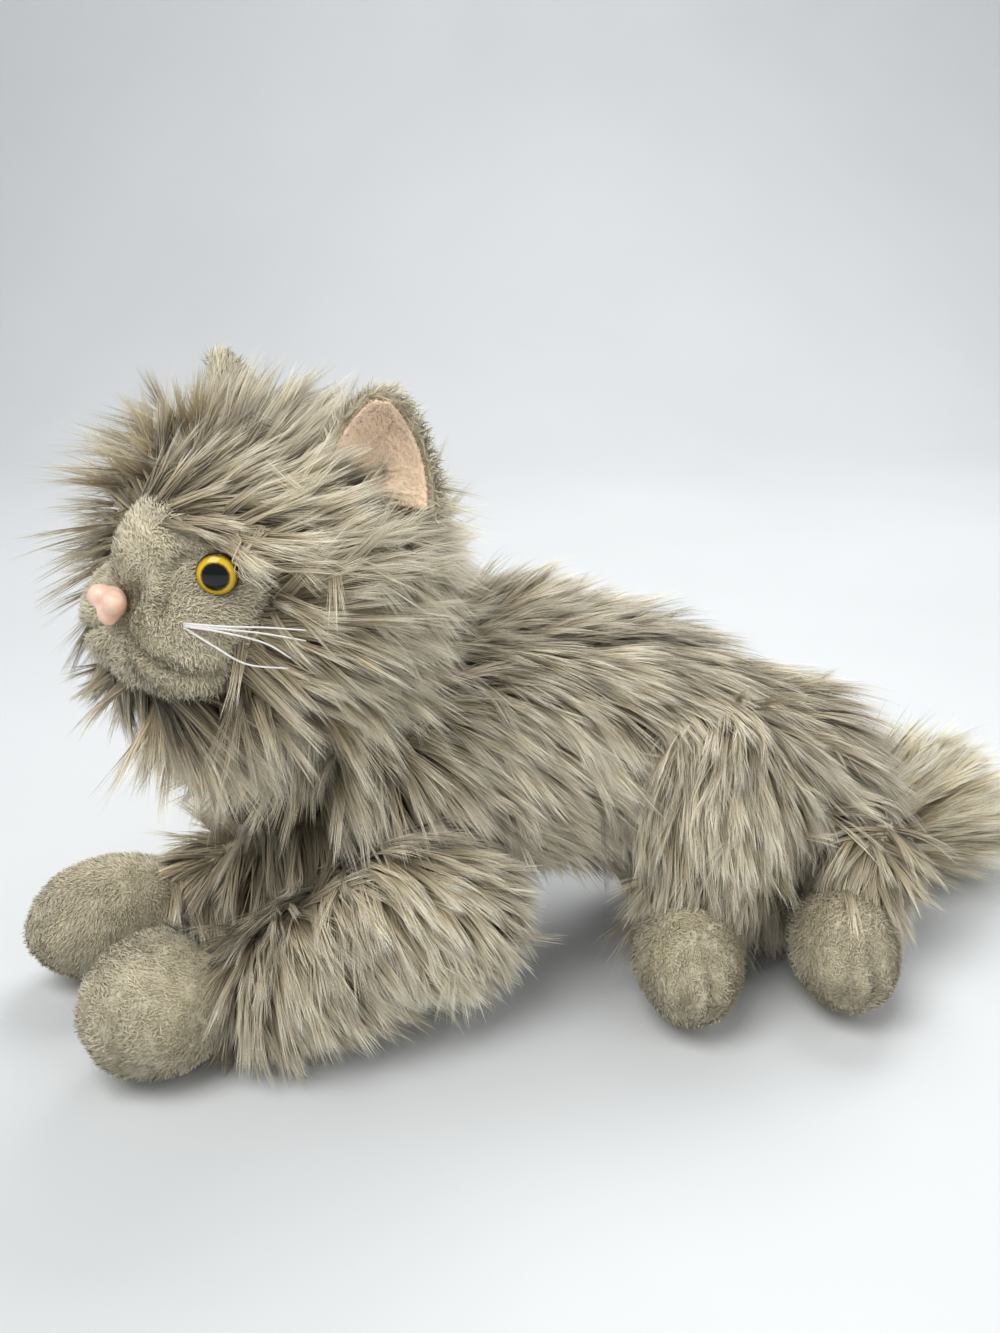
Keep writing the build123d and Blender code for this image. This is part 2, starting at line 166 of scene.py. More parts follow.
def remeshed(name, node_names, voxel):
    """Even quad surface round several CAD solids."""
    verts, tris = joined_nodes(node_names)
    obj = new_object(name, verts, tris)
    modifier = obj.modifiers.new("remesh", "REMESH")
    modifier.mode = "VOXEL"
    modifier.voxel_size = voxel
    graph = bpy.context.evaluated_depsgraph_get()
    made = obj.evaluated_get(graph).to_mesh()
    co = np.zeros(len(made.vertices) * 3, np.float32)
    made.vertices.foreach_get("co", co)
    quads = np.zeros(len(made.loops), np.int32)
    made.loops.foreach_get("vertex_index", quads)
    quads = quads.reshape(-1, 4)
    obj.evaluated_get(graph).to_mesh_clear()
    bpy.data.objects.remove(obj)
    return largest_island(co.reshape(-1, 3).astype(float), quads)


def edges_of(faces):
    n = faces.shape[1]
    pairs = np.concatenate([faces[:, [k, (k + 1) % n]] for k in range(n)])
    return np.unique(np.sort(pairs, axis=1), axis=0)


def smoothed(verts, faces, rounds, factor=0.5):
    edges = edges_of(faces)
    a, b = edges[:, 0], edges[:, 1]
    degree = np.bincount(edges.ravel(), minlength=len(verts)).astype(float)[:, None]
    for _ in range(rounds):
        total = np.zeros_like(verts)
        np.add.at(total, a, verts[b])
        np.add.at(total, b, verts[a])
        verts = verts + factor * (total / degree - verts)
    return verts


def normals_of(verts, faces):
    diagonal_a = verts[faces[:, 2]] - verts[faces[:, 0]]
    last = faces[:, 3] if faces.shape[1] == 4 else faces[:, 0]
    diagonal_b = verts[last] - verts[faces[:, 1]]
    face_normals = np.cross(diagonal_a, diagonal_b)
    normals = np.zeros_like(verts)
    for k in range(faces.shape[1]):
        np.add.at(normals, faces[:, k], face_normals)
    return unit(normals)


def unit(v):
    return v / np.maximum(np.linalg.norm(v, axis=-1, keepdims=True), 1e-12)


def slope(value, width):
    """0 up to zero, then straight up to 1 at the width."""
    return np.clip(value / width, 0, 1)


def triangles(faces):
    if faces.shape[1] == 3:
        return faces
    return np.concatenate([faces[:, [0, 1, 2]], faces[:, [0, 2, 3]]])


def tree_of(verts, faces):
    return BVHTree.FromPolygons([Vector(v) for v in verts], [tuple(int(i) for i in f) for f in faces])


def node_tree(*names):
    return tree_of(*joined_nodes(names))


def distances(tree, points):
    """Distance from each point to the nearest surface of a tree."""
    return np.array([tree.find_nearest(Vector(p))[3] for p in points])


def set_attribute(mesh, name, kind, values):
    attribute = mesh.attributes.new(name, kind, "POINT")
    field = {"FLOAT": "value", "FLOAT_COLOR": "color", "FLOAT_VECTOR": "vector"}[kind]
    attribute.data.foreach_set(field, np.asarray(values, np.float32).ravel())


# ---------------------------------------------------------------- materials
def srgb(red, green, blue):
    """Linear colour from 0-255 display values."""
    out = []
    for value in (red, green, blue):
        c = value / 255
        out.append(c / 12.92 if c <= 0.04045 else ((c + 0.055) / 1.055) ** 2.4)
    return np.array(out)


def material(name, roughness, **sockets):
    made = bpy.data.materials.new(name)
    made.use_nodes = True
    shader = made.node_tree.nodes["Principled BSDF"]
    shader.inputs["Roughness"].default_value = roughness
    for socket, value in sockets.items():
        shader.inputs[socket.replace("_", " ")].default_value = value
    return made, made.node_tree, shader


def wired(tree, *wires):
    """Links shader nodes. A wire is a node and its output, then a node and its input."""
    for start, output, end, socket in wires:
        tree.links.new(start.outputs[output], end.inputs[socket])


def colour_ramp(tree, stops):
    """Ramp node with (position, colour) stops."""
    ramp = tree.nodes.new("ShaderNodeValToRGB")
    while len(ramp.color_ramp.elements) < len(stops):
        ramp.color_ramp.elements.new(0.5)
    for element, (position, colour) in zip(ramp.color_ramp.elements, stops):
        element.position = position
        element.color = (*colour, 1)
    return ramp


NOISE_DETAIL = 4.0
BUMP_DISTANCE = 0.0005
BUMP_FINER = 6              # a bump's noise is this many times finer than the colour's, unless it is given


def noise_colour(tree, shader, colours, scale, bump=0.0, bump_scale=None):
    """Mottled colour between two or three tones, with an optional bump of finer noise."""
    where = tree.nodes.new("ShaderNodeTexCoord")
    noise = tree.nodes.new("ShaderNodeTexNoise")
    noise.inputs["Scale"].default_value = scale
    noise.inputs["Detail"].default_value = NOISE_DETAIL
    ramp = colour_ramp(tree, list(zip(np.linspace(0.3, 0.7, len(colours)), colours)))
    wired(tree, (where, "Object", noise, "Vector"), (noise, "Fac", ramp, "Fac"),
          (ramp, "Color", shader, "Base Color"))
    if bump:
        fine = tree.nodes.new("ShaderNodeTexNoise")
        fine.inputs["Scale"].default_value = bump_scale or scale * BUMP_FINER
        fine.inputs["Detail"].default_value = 3.0
        bumps = tree.nodes.new("ShaderNodeBump")
        bumps.inputs["Strength"].default_value = bump
        bumps.inputs["Distance"].default_value = BUMP_DISTANCE
        wired(tree, (where, "Object", fine, "Vector"), (fine, "Fac", bumps, "Height"),
              (bumps, "Normal", shader, "Normal"))


def mottled(name, roughness, colours, scale, bump=0.0, bump_scale=None, **sockets):
    made, tree, shader = material(name, roughness, **sockets)
    noise_colour(tree, shader, colours, scale, bump, bump_scale)
    return made


HAIR_NOISE_SCALE = 60.0
HAIR_BRIGHTNESS = (0.88, 1.1)


def hair_material(name, roughness):
    """Hairs take their colour from the attribute that runs from root to tip, broken up by noise."""
    made, tree, shader = material(name, roughness, Sheen_Weight=0.25, Sheen_Roughness=0.5,
                                  Specular_IOR_Level=0.35)
    colour = tree.nodes.new("ShaderNodeAttribute")
    colour.attribute_name = "pile_colour"
    where = tree.nodes.new("ShaderNodeTexCoord")
    noise = tree.nodes.new("ShaderNodeTexNoise")
    noise.inputs["Scale"].default_value = HAIR_NOISE_SCALE
    noise.inputs["Detail"].default_value = 2.0
    bright = tree.nodes.new("ShaderNodeMapRange")
    bright.inputs["From Min"].default_value = 0.3
    bright.inputs["From Max"].default_value = 0.7
    bright.inputs["To Min"].default_value, bright.inputs["To Max"].default_value = HAIR_BRIGHTNESS
    scaled = tree.nodes.new("ShaderNodeVectorMath")
    scaled.operation = "SCALE"
    wired(tree, (where, "Object", noise, "Vector"), (noise, "Fac", bright, "Value"),
          (colour, "Color", scaled, 0), (bright, "Result", scaled, "Scale"),
          (scaled, "Vector", shader, "Base Color"))
    return made


ROOT_TAUPE = srgb(104, 91, 65)
MID_TAUPE = srgb(190, 175, 143)
TIP_CREAM = srgb(248, 240, 217)
CLIPPED_ROOT = srgb(178, 167, 138)
CLIPPED_TIP = srgb(230, 221, 194)
PEACH = srgb(255, 228, 198)

hair = hair_material("long_pile_hair", 0.48)
fuzz = hair_material("clipped_pile_hair", 0.75)

cloth = mottled("pile_backing", 0.9, [ROOT_TAUPE * 0.55, ROOT_TAUPE * 0.8], 180.0, 0.6)
plush = mottled("clipped_plush", 0.85, [CLIPPED_ROOT * 0.8, CLIPPED_ROOT, CLIPPED_TIP * 0.9], 140.0, 0.8, 1800.0,
                Sheen_Weight=0.3)
velour = mottled("ear_velour", 0.85, [PEACH * 0.86, PEACH, PEACH * 1.05], 90.0, 0.5, 2200.0, Sheen_Weight=0.4)
thread = mottled("thread", 0.8, [srgb(60, 48, 40), srgb(86, 72, 60)], 900.0, 0.5)
bristle = mottled("nylon_bristle", 0.3, [srgb(228, 226, 220), srgb(248, 247, 244)], 300.0,
                  Transmission_Weight=0.15)
washer_plastic = mottled("washer_plastic", 0.5, [srgb(225, 224, 218), srgb(238, 237, 232)], 300.0)
nose_pink = mottled("nose_vinyl", 0.42, [srgb(248, 190, 166), srgb(253, 204, 182), srgb(255, 214, 194)], 260.0,
                    0.12, 2500.0, Subsurface_Weight=0.25, Coat_Weight=0.15, Coat_Roughness=0.35)


def finish_piece(obj, body, material_used, slot, *replaced):
    obj.data.materials.append(material_used)
    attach(obj, body)
    if replaced:
        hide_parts(*replaced)
    return obj


# ---------------------------------------------------------------- coats of hair
GUIDE_REACH = 12.0          # distance in millimetres within which one guide decides the direction
GUIDE_STEPS = 6             # points of a long guide hair
STRAY_ANGLE = 10            # spread of the lift angle in degrees
BEND = 0.22                 # how fast a hair turns to the combed direction
FLOW_WAVE = 0.045           # length of the waves in the combing
GUIDE_FLOOR = 0.0008        # guides and hairs stay this far above the floor
HAIR_FLOOR = 0.0004
PUSH_RANGE = 0.03


class Field:
    """Direction that the pile is combed in, from a few given guides in a unit's frame."""

    def __init__(self, where, guides, mirrored=True):
        rows = []
        for point, direction in guides:
            rows.append((point, direction))
            if mirrored and abs(point[1]) > 1:
                rows.append(((point[0], -point[1], point[2]), (direction[0], -direction[1], direction[2])))
        self.where = where
        self.points = np.array([r[0] for r in rows], float)
        self.directions = unit(np.array([r[1] for r in rows], float))

    def __call__(self, places):
        local = self.where.local(places)
        gap = ((local[:, None, :] - self.points[None]) ** 2).sum(axis=2)
        weight = 1.0 / (gap + GUIDE_REACH ** 2) ** 2
        mixed = weight @ self.directions / weight.sum(axis=1, keepdims=True)
        return self.where.vector(unit(mixed))


def waves(places, length, seed, octaves=3):
    """Smooth vector noise made of a few plane waves, about 1 in size."""
    rng = np.random.default_rng(seed)
    total = np.zeros_like(places)
    for axis in range(3):
        for _ in range(octaves):
            run = unit(rng.normal(size=3)) * 2 * math.pi / (length * rng.uniform(0.6, 1.6))
            total[:, axis] += np.sin(places @ run + rng.uniform(0, 2 * math.pi))
    return total / math.sqrt(octaves)


def roots_on(verts, faces, spacing, rng, keep=None):
    """Roots scattered about evenly over a surface, with the surface's normals."""
    tris = triangles(faces)
    normals = normals_of(verts, faces)
    a, b, c = (verts[tris[:, k]] for k in range(3))
    areas = np.linalg.norm(np.cross(b - a, c - a), axis=1) / 2
    count = int(areas.sum() / spacing ** 2 * 4)
    pick = rng.choice(len(tris), count, p=areas / areas.sum())
    u, v = rng.random(count), rng.random(count)
    flip = u + v > 1
    u[flip], v[flip] = 1 - u[flip], 1 - v[flip]
    w = 1 - u - v
    places = a[pick] * w[:, None] + b[pick] * u[:, None] + c[pick] * v[:, None]
    out = unit(sum(normals[tris[pick, k]] * s[:, None] for k, s in ((0, w), (1, u), (2, v))))
    cells = np.floor(places / spacing).astype(np.int64)
    key = cells[:, 0] * 73856093 ^ cells[:, 1] * 19349663 ^ cells[:, 2] * 83492791
    _, first = np.unique(key, return_index=True)
    first = np.sort(first)
    places, out = places[first], out[first]
    if keep is not None:
        kept = keep(places)
        places, out = places[kept], out[kept]
    return places, out


def grown(places, normals, field, length, lift, droop, steps, rng, stray=0.22, wave=0.42, clear=(), seed=1):
    """Guide hairs. They leave the skin at the lift angle, and bend to the combed direction and down."""
    flow = field(places)
    flow = unit(flow + wave * waves(places, FLOW_WAVE, seed) + stray * rng.normal(size=places.shape))
    along = unit(flow - normals * (flow * normals).sum(axis=1, keepdims=True))
    angle = np.radians(lift + STRAY_ANGLE * rng.normal(size=len(places)))[:, None]
    heading = unit(along * np.cos(angle) + normals * np.sin(angle))
    bend = unit(along + 0.35 * flow)
    step = (length / (steps - 1))[:, None]
    points = [places]
    down = np.array([0, 0, -1.0])
    for _ in range(steps - 1):
        heading = unit(heading + BEND * bend + droop[:, None] * down)
        spot = points[-1] + heading * step
        for tree, margin in clear:
            spot = pushed_out(spot, tree, margin)
        spot[:, 2] = np.maximum(spot[:, 2], GUIDE_FLOOR)
        points.append(spot)
    points = np.stack(points, axis=1)
    reach = points[:, -1] - places
    over = np.maximum(points[:, -1] - HAIR_LIMITS[1], 0) + np.maximum(HAIR_LIMITS[0] - points[:, -1], 0)
    share = (1 - over / np.maximum(np.abs(reach), 1e-6)).min(axis=1)
    share = np.clip(share, 0.3, 1.0) * np.where(share < 1, rng.uniform(0.85, 1.0, len(share)), 1.0)
    return places[:, None] + (points - places[:, None]) * share[:, None, None]


def pushed_out(points, tree, margin):
    """Moves points that are inside a surface, or nearer to it than margin, to the margin."""
    out = points.copy()
    for i, p in enumerate(points):
        near, normal, _, gap = tree.find_nearest(Vector(p), PUSH_RANGE)
        if near is None:
            continue
        inside = (Vector(p) - near).dot(normal) < 0
        if inside or gap < margin:
            out[i] = near + normal * margin
    return out


HAIRS_PER_STRAND = 4
HAIR_MARGIN = np.array((0.016, 0.010, 0.010))       # hair may reach this far past the box of the solids
HAIR_LIMITS = (np.array(CAD_BOX[0]) - HAIR_MARGIN * (1, 1, 0), np.array(CAD_BOX[1]) + HAIR_MARGIN)
STRAND_SPREAD = 0.35    # size of one strand against the size of its lock
STRAND_DRIFT = 3        # drift of a strand against the drift of a hair
LOCK_REACH = (0.72, 1.0)
HAIR_ROLL = 0.45
HAIR_PROFILE = np.array([0.8, 1.0, 0.9, 0.65, 0.4])     # width of a hair from its root to its last row
ROUNDNESS = 0.7         # how far the shading normals of a hair turn from its middle to its edges


def coat(name, guides, normals, per_lock, spread, width, tones, rng, gather=0.55, curl=0.0006, rows=5,
         velvet=0.15):
    """Locks of tapered hairs round each guide, gathered in strands, as one mesh coloured from root to tip."""
    count, steps = guides.shape[:2]
    total = count * per_lock
    owner = np.repeat(np.arange(count), per_lock)
    side_a = unit(np.cross(normals, [0.31, 0.77, 0.55]))
    side_b = np.cross(normals, side_a)
    per_owner = -(-per_lock // HAIRS_PER_STRAND)
    strand = owner * per_owner + (np.arange(total) % per_lock) // HAIRS_PER_STRAND
    strand_owner = np.repeat(np.arange(count), per_owner)

    def scattered(who, size):
        radius = size * spread[who] * np.sqrt(rng.random(len(who)))
        around = rng.uniform(0, 2 * math.pi, len(who))
        return (side_a[who] * (radius * np.cos(around))[:, None]
                + side_b[who] * (radius * np.sin(around))[:, None])

    strand_offset = scattered(strand_owner, 1.0)
    offset = scattered(owner, STRAND_SPREAD)
    strand_drift = rng.normal(size=(len(strand_owner), 3)) * curl * STRAND_DRIFT
    drift = rng.normal(size=(total, 3)) * curl
    strand_reach = rng.uniform(*LOCK_REACH, len(strand_owner))
    reach = strand_reach[strand] * rng.uniform(0.88, 1.0, total)
    places = np.linspace(0, 1, rows + 1)
    hairs = np.zeros((total, rows + 1, 3))
    for r, s in enumerate(places):
        at = s * reach * (steps - 1)
        low = np.minimum(at.astype(int), steps - 2)
        part = (at - low)[:, None]
        line = guides[owner, low] * (1 - part) + guides[owner, low + 1] * part
        hairs[:, r] = (line + strand_offset[strand] * (1 - gather * s ** 0.8) + offset * (1 - 0.8 * s)
                       + (strand_drift[strand] + drift) * s ** 1.5)
    hairs[:, :, 2] = np.maximum(hairs[:, :, 2], HAIR_FLOOR)
    tangent = unit(np.gradient(hairs, axis=1))
    across = unit(np.cross(tangent, normals[owner][:, None, :]))
    raised = np.cross(across, tangent)
    outward = normals[owner][:, None, :]
    facing = raised * np.sign((raised * outward).sum(axis=2, keepdims=True))
    facing = unit((1 - velvet) * facing + velvet * outward)
    shading = np.zeros((total, 2 * rows + 1, 3))
    shading[:, 0:2 * rows:2] = unit(facing - (1 - velvet) * ROUNDNESS * across)[:, :rows]
    shading[:, 1:2 * rows:2] = unit(facing + (1 - velvet) * ROUNDNESS * across)[:, :rows]
    shading[:, -1] = facing[:, rows]
    roll = rng.normal(0, HAIR_ROLL, total)[:, None, None]
    across = across * np.cos(roll) + raised * np.sin(roll)
    half = width * rng.uniform(0.7, 1.2, total)[:, None, None] / 2
    profile = HAIR_PROFILE[:rows][None, :, None]
    left = hairs[:, :rows] - across[:, :rows] * half * profile
    right = hairs[:, :rows] + across[:, :rows] * half * profile
    per_hair = 2 * rows + 1
    verts = np.zeros((total, per_hair, 3), np.float32)
    verts[:, 0:2 * rows:2] = left
    verts[:, 1:2 * rows:2] = right
    verts[:, -1] = hairs[:, rows]
    base = (np.arange(total) * per_hair)[:, None]
    quad = np.array([[2 * k, 2 * k + 1, 2 * k + 3, 2 * k + 2] for k in range(rows - 1)])
    quads = (base[:, :, None] + quad[None]).reshape(-1, 4)
    tips = base + np.array([2 * rows - 2, 2 * rows - 1, 2 * rows])
    mesh = bpy.data.meshes.new(name)
    loops = np.concatenate([quads.ravel(), tips.ravel()])
    starts = np.concatenate([np.arange(len(quads)) * 4, len(quads) * 4 + np.arange(len(tips)) * 3])
    mesh.vertices.add(total * per_hair)
    mesh.vertices.foreach_set("co", verts.ravel())
    mesh.loops.add(len(loops))
    mesh.loops.foreach_set("vertex_index", loops.astype(np.int32))
    mesh.polygons.add(len(starts))
    mesh.polygons.foreach_set("loop_start", starts.astype(np.int32))
    mesh.polygons.foreach_set("use_smooth", np.ones(len(starts), bool))
    mesh.update(calc_edges=True)
    mesh.normals_split_custom_set_from_vertices(shading.reshape(-1, 3))
    share = np.concatenate([np.repeat(places[:rows], 2), [1.0]])
    colours = tones(share, owner, strand, rng)
    set_attribute(mesh, "pile_colour", "FLOAT_COLOR", colours)
    obj = bpy.data.objects.new(name, mesh)
    bpy.context.scene.collection.objects.link(obj)
    return obj


def tones_of(root, middle, tip, lock_bright, spread=0.10, tip_start=0.55):
    """Colour function of a coat. lock_bright scales each lock, and each hair differs by spread."""
    def tones(share, owner, strand, rng):
        strand_bright = 1 + spread * rng.normal(size=strand.max() + 1)
        own = lock_bright[owner] * strand_bright[strand] * (1 + 0.5 * spread * rng.normal(size=len(owner)))
        late = np.clip((share - tip_start) / (1 - tip_start), 0, 1)[:, None]
        early = np.clip(share / tip_start, 0, 1)[:, None] ** 0.8
        ramp = (root * (1 - early) + middle * early) * (1 - late) + tip * late
        colours = ramp[None] * own[:, None, None]
        full = np.ones((*colours.shape[:2], 4))
        full[:, :, :3] = np.clip(colours, 0, 1)
        return full
    return tones


# ---------------------------------------------------------------- camera, floor and light
CAMERA_TARGET = (0.093, 0.028, -0.019)      # measured from the neck joint
CAMERA_ELEVATION = 19.5
CAMERA_DISTANCE = 0.62
CAMERA_LENS = 39.86
LAMPS = [
    # name, place, size and power
    ("key", (-0.5, -0.7, 1.3), 0.9, 15.0),
    ("fill", (0.9, -0.8, 0.8), 1.2, 5.0),
    ("rim", (0.3, 0.9, 1.3), 0.9, 14.0),
]
LAMPS_AIM = (0, 0, 0.12)
SWEEP_STEPS = 12


def camera_and_stage():
    view = bpy.data.cameras.new("camera")
    view.sensor_fit = "AUTO"
    view.sensor_width = 36.0
    view.lens = CAMERA_LENS
    camera = bpy.data.objects.new("camera", view)
    bpy.context.scene.collection.objects.link(camera)
    target = Vector(neck_pivot) + Vector(CAMERA_TARGET)
    elevation = math.radians(CAMERA_ELEVATION)
    back = Vector((0, -math.cos(elevation), math.sin(elevation)))
    camera.location = target + back * CAMERA_DISTANCE
    camera.rotation_mode = "QUATERNION"
    camera.rotation_quaternion = (-back).to_track_quat("-Z", "Y")
    bpy.context.scene.camera = camera

    depth, rise, bend = 1.6, 1.8, 0.5
    profile = [(-1.6, 0.0), (depth - bend, 0.0)]
    for k in range(1, SWEEP_STEPS + 1):
        a = math.pi / 2 * k / SWEEP_STEPS
        profile.append((depth - bend + bend * math.sin(a), bend - bend * math.cos(a)))
    profile.append((depth, rise))
    verts = [(x, y, z) for y, z in profile for x in (-3.0, 3.0)]
    faces = [(2 * i, 2 * i + 1, 2 * i + 3, 2 * i + 2) for i in range(len(profile) - 1)]
    floor = new_object("studio_floor", verts, faces)
    floor.data.materials.append(mottled("studio_pale", 0.7, [srgb(214, 216, 216), srgb(220, 222, 222)], 3.0))

    world = bpy.data.worlds.new("studio")
    world.use_nodes = True
    world.node_tree.nodes["Background"].inputs["Color"].default_value = (0.9, 0.94, 1.0, 1)
    world.node_tree.nodes["Background"].inputs["Strength"].default_value = 0.40
    bpy.context.scene.world = world
    for name, place, size, power in LAMPS:
        lamp = bpy.data.lights.new(name, "AREA")
        lamp.size = size
        lamp.energy = power
        light = bpy.data.objects.new(name, lamp)
        light.location = place
        light.rotation_mode = "QUATERNION"
        light.rotation_quaternion = (Vector(LAMPS_AIM) - Vector(place)).to_track_quat("-Z", "Y")
        bpy.context.scene.collection.objects.link(light)


# ---------------------------------------------------------------- units
def skin_piece(name, verts, faces, body, slot, used, *replaced):
    return finish_piece(new_object(name, verts, faces), body, used, slot, *replaced)


CLOTH_FRAMES = 20
CLOTH_PRESSURE = 4.0
CLOTH_MASS = 0.02
CLOTH_STIFFNESS = 12
CLOTH_SHEAR = 4
CLOTH_BENDING = 0.2


def stuffed(verts, faces, cap, pinned=None):
    """Fabric bag filled out by the pressure of its stuffing. Pinned places are held by stitches."""
    scene = bpy.context.scene
    bag = new_object("bag", verts, faces)
    bag_cloth = bag.modifiers.new("cloth", "CLOTH")
    settings = bag_cloth.settings
    settings.quality = 4
    settings.mass = CLOTH_MASS
    settings.use_pressure = True
    settings.uniform_pressure_force = CLOTH_PRESSURE
    settings.effector_weights.gravity = 0
    settings.tension_stiffness = CLOTH_STIFFNESS
    settings.compression_stiffness = CLOTH_STIFFNESS
    settings.shear_stiffness = CLOTH_SHEAR
    settings.bending_stiffness = CLOTH_BENDING
    if pinned is not None:
        group = bag.vertex_groups.new(name="stitched")
        for level in (0.5, 1.0):
            chosen = np.nonzero(pinned >= level * 0.9)[0]
            group.add([int(i) for i in chosen], level, "REPLACE")
        settings.vertex_group_mass = "stitched"
    bag_cloth.point_cache.frame_start = 1
    bag_cloth.point_cache.frame_end = CLOTH_FRAMES
    for frame_number in range(1, CLOTH_FRAMES + 1):
        scene.frame_set(frame_number)
    filled, _ = mesh_arrays(bag)
    bpy.data.objects.remove(bag)
    scene.frame_set(1)
    shift = filled - verts
    size = np.linalg.norm(shift, axis=1, keepdims=True)
    return verts + shift * np.minimum(1, cap / np.maximum(size, 1e-9))


def far_from(trees, gap):
    """Keeps roots that no other unit's solid covers."""
    def keep(places):
        kept = np.ones(len(places), bool)
        for tree in trees:
            kept &= distances(tree, places) > gap
        return kept
    return keep


LOCK_CONTRAST = 0.12        # how much the brightness differs between patches and between locks
STRAND_CONTRAST = 0.13
PLUSH_PATCH_CONTRAST = 0.07
PLUSH_CONTRAST = 0.04
PLUSH_LOCK = 0.0007         # how far two hairs of one root stand apart


def long_coat(name, body, verts, faces, field, seed, spacing, length, lift, droop, keep, *nodes,
              per_lock=30, width=0.00038, spread=0.0028, clear=(), coat_brightness=1.0):
    """Long pile over one unit. length, lift and droop are functions of the root places."""
    rng = np.random.default_rng(seed)
    places, normals = roots_on(verts, faces, spacing, rng, keep)
    reach = length(places) * rng.uniform(0.8, 1.15, len(places))
    guides = grown(places, normals, field, reach, lift(places), droop(places), GUIDE_STEPS, rng,
                   clear=clear, seed=seed)
    patches = waves(places, 0.05, seed + 7)[:, 0]
    # one given factor scales the colour of the whole coat
    bright = coat_brightness * (1.0 + LOCK_CONTRAST * patches + LOCK_CONTRAST * rng.normal(size=len(places)))
    colours = tones_of(ROOT_TAUPE, MID_TAUPE, TIP_CREAM, bright, STRAND_CONTRAST)
    made = coat(name, guides, normals, per_lock, np.full(len(places), spread), width, colours, rng)
    return finish_piece(made, body, hair, "long_pile", *nodes)


def short_coat(name, body, places, normals, field, seed, length, lift, nodes, width=0.00034, tones=None,
               slot="short_pile", painted_shading=1.0):
    """Clipped pile. The brightness at each root is scaled by a given factor of painted light and shade."""
    rng = np.random.default_rng(seed)
    reach = length * rng.uniform(0.75, 1.2, len(places))
    guides = grown(places, normals, field, reach, np.full(len(places), lift), np.zeros(len(places)), 3, rng,
                   stray=0.35, wave=0.5, seed=seed)
    bright = 1.0 + PLUSH_PATCH_CONTRAST * waves(places, 0.014, seed + 3)[:, 0]
    # painted light and shade: each root's colour is multiplied by its given factor
    bright = (bright + PLUSH_CONTRAST * rng.normal(size=len(places))) * painted_shading
    colours = tones(bright) if tones else tones_of(CLIPPED_ROOT, (CLIPPED_ROOT + CLIPPED_TIP) / 2, CLIPPED_TIP,
                                                   bright, 0.06, 0.5)
    made = coat(name, guides, normals, 2, np.full(len(places), PLUSH_LOCK), width, colours, rng,
                gather=0.3, curl=0.0001, rows=2, velvet=0.8)
    return finish_piece(made, body, fuzz, slot, *nodes)


def constant(value):
    return lambda places: np.full(len(places), float(value))


# ---------------------------------------------------------------- combing guides
# Each guide is a point and a direction in the unit's frame, in millimetres. Guides beside the middle
# plane are repeated on the other side.
TORSO_GUIDES = [
    ((-50, 0, 110), (-0.25, 0, -1.0)),
    ((-45, 0, 60), (0.1, 0, -1.0)),
    ((-35, -50, 105), (0.55, -0.1, -0.75)),
    ((10, -62, 120), (0.85, 0.0, -0.40)),
    ((10, -50, 70), (0.75, 0.1, -0.65)),
    ((55, -60, 105), (0.88, 0.0, -0.42)),
    ((55, -50, 65), (0.70, 0.2, -0.70)),
    ((0, 0, 168), (1.0, 0.0, 0.15)),
    ((60, 0, 168), (1.0, 0.0, 0.10)),
    ((100, -35, 160), (0.8, -0.3, -0.1)),
    ((95, -50, 142), (0.35, -0.5, -0.75)),
    ((125, -42, 150), (0.25, -0.6, -0.75)),
    ((160, -45, 132), (0.5, -0.4, -0.75)),
    ((125, -55, 125), (0.25, -0.4, -0.9)),
    ((150, 0, 145), (0.95, 0.0, -0.25)),
    ((160, -60, 90), (0.35, -0.1, -0.9)),
    ((195, 0, 130), (0.95, 0.0, -0.30)),
    ((205, -55, 70), (0.6, -0.1, -0.8)),
    ((250, 0, 60), (0.5, 0.0, -0.85)),
    ((80, 0, 45), (1.0, 0.0, 0.0)),
]
FORELEG_GUIDES = [
    ((15, 85, 95), (0.75, 0.1, -0.6)),
    ((50, 60, 60), (0.8, 0.0, -0.6)),
    ((-10, 92, 55), (0.65, 0.0, -0.8)),
    ((-45, 75, 45), (0.55, 0.1, -0.85)),
    ((-50, 50, 75), (0.25, 0.75, -0.35)),
    ((-72, 44, 60), (-0.85, 0.1, 0.30)),
    ((-70, 66, 38), (0.25, 0.3, -0.9)),
    ((-70, 25, 38), (-0.2, -0.4, -0.7)),
    ((-20, 50, 18), (0.8, 0.0, -0.3)),
    ((10, 20, 60), (0.6, -0.1, -0.8)),
]
LEFT_HINDLEG_GUIDES = [
    ((92, -20, 140), (0.15, -0.5, -0.85)),
    ((55, -15, 95), (-0.15, -0.25, -1.0)),
    ((92, -45, 95), (0.10, -0.25, -1.0)),
    ((130, -15, 95), (0.30, -0.15, -0.95)),
    ((85, -40, 55), (0.0, -0.35, -0.95)),
    ((60, -20, 45), (-0.25, -0.2, -0.95)),
    ((108, -20, 45), (0.3, -0.2, -0.95)),
]
RIGHT_HINDLEG_GUIDES = [
    ((163, -15, 85), (0.2, -0.4, -0.9)),
    ((140, -10, 60), (-0.2, -0.2, -0.95)),
    ((160, -28, 58), (0.15, -0.3, -0.95)),
    ((185, -5, 60), (0.45, -0.1, -0.9)),
    ((152, -25, 38), (0.0, -0.35, -0.95)),
]
TAIL_GUIDES = [
    ((0, 0, 25), (1.0, 0.0, 0.12)),
    ((45, 0, 32), (1.0, 0.0, 0.18)),
    ((45, 30, 0), (1.0, 0.22, 0.0)),
    ((45, 0, -30), (1.0, 0.0, 0.0)),
    ((80, 0, 0), (1.0, 0.0, 0.0)),
]
HEAD_FROM = (-62.0, 0.0, -12.0)     # the pile of the head is brushed away from this point of the face
BROW_AT = (-43.0, -20.0, 19.0)      # the left brow is combed back over the eye
BROW_COMBED = (0.36, -0.66, -0.70)


